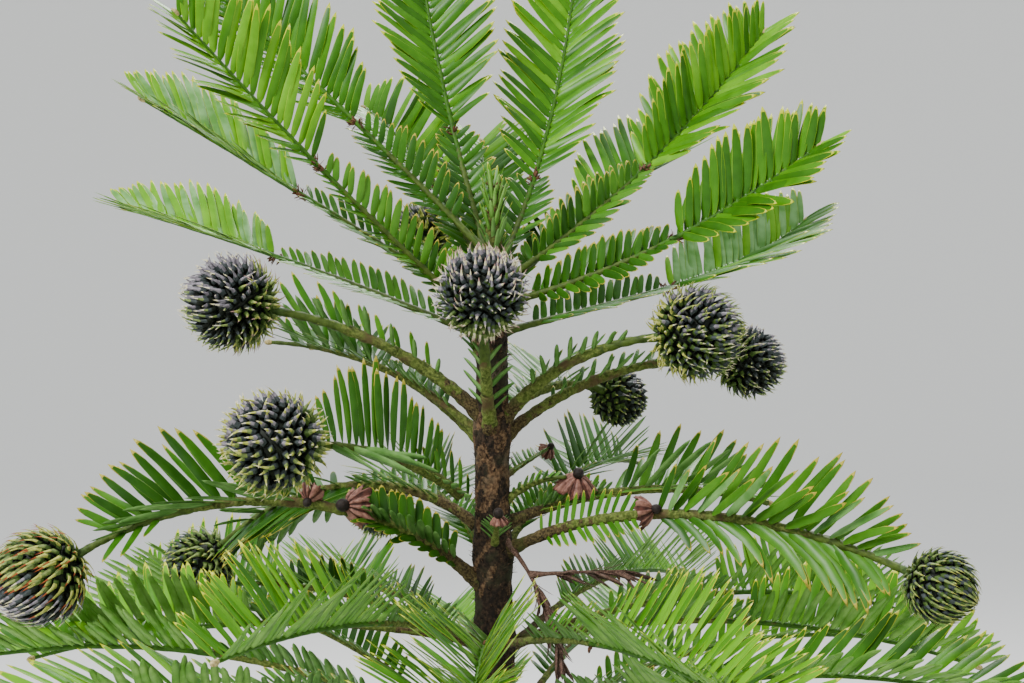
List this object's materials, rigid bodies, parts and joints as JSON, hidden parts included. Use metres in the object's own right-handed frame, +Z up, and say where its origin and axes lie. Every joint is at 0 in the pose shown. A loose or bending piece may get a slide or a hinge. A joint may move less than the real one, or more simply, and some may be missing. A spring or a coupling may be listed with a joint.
{
  "type": "young wollemi pine tree",
  "caption": "Small upright conifer rooted in the ground, with whorls of feathery needled boughs on one straight trunk and round spiny seed cones at the ends of its upper boughs.",
  "frame": {"origin": "middle of the flat cut under the trunk, at ground level", "axes": "+Z up along the trunk, -Y towards the side that the picture shows, +X to the right in it"},
  "size_m": [0.953, 0.9317, 1.3605],
  "materials": {
    "bark": "rough, flaking, matt",
    "bough_bark": "ridged with old needle bases, matt",
    "needles": "smooth, satin",
    "young_needles": "smooth, satin",
    "cone_scales": "spiny, matt"
  },
  "bodies": {
    "root": {"trunk": "bark", "bough_front_cone": "bough_bark", "bough_left_cone": "bough_bark", "bough_right_cone": "bough_bark", "bough_right_far_cone": "bough_bark", "bough_right_back_cone": "bough_bark", "bough_left_long": "bough_bark", "bough_left_front": "bough_bark", "bough_left_low": "bough_bark", "bough_right_long": "bough_bark", "bough_right_back": "bough_bark", "foliage_front_cone": "cone_scales", "foliage_left_cone": "cone_scales", "foliage_right_cone": "cone_scales", "foliage_right_far_cone": "cone_scales", "foliage_right_back_cone": "cone_scales", "foliage_left_long": "cone_scales", "foliage_left_front": "cone_scales", "foliage_left_low": "cone_scales", "foliage_right_long": "cone_scales", "foliage_right_back": "needles", "foliage_left_back": "needles", "foliage_back_cone": "cone_scales", "foliage_back_left": "needles", "foliage_back_right": "needles", "foliage_back_low_cone": "cone_scales", "foliage_back_low": "needles", "foliage_right_stub": "needles", "foliage_right_back_stub": "needles", "foliage_front_stub": "needles", "foliage_crown_frond_1": "young_needles", "foliage_crown_frond_2": "young_needles", "foliage_crown_frond_3": "young_needles", "foliage_crown_frond_4": "young_needles", "foliage_crown_frond_5": "young_needles", "foliage_crown_frond_6": "young_needles", "foliage_crown_frond_7": "young_needles", "foliage_crown_frond_8": "young_needles", "foliage_crown_frond_9": "young_needles", "foliage_crown_frond_10": "young_needles", "foliage_crown_frond_11": "young_needles", "foliage_crown_frond_12": "young_needles", "foliage_lower_1_1": "needles", "foliage_lower_1_2": "needles", "foliage_lower_1_3": "needles", "foliage_lower_2_1": "needles", "foliage_lower_2_2": "needles", "foliage_lower_2_3": "needles", "foliage_lower_3_1": "needles", "foliage_lower_3_2": "needles", "foliage_lower_3_3": "needles", "foliage_lower_4_1": "needles", "foliage_lower_4_2": "needles", "foliage_lower_4_3": "needles", "foliage_lower_5_1": "needles", "foliage_lower_5_2": "needles", "foliage_lower_5_3": "needles", "foliage_lower_6_1": "needles", "foliage_lower_6_2": "needles", "foliage_lower_6_3": "needles"}
  },
  "joints": []
}
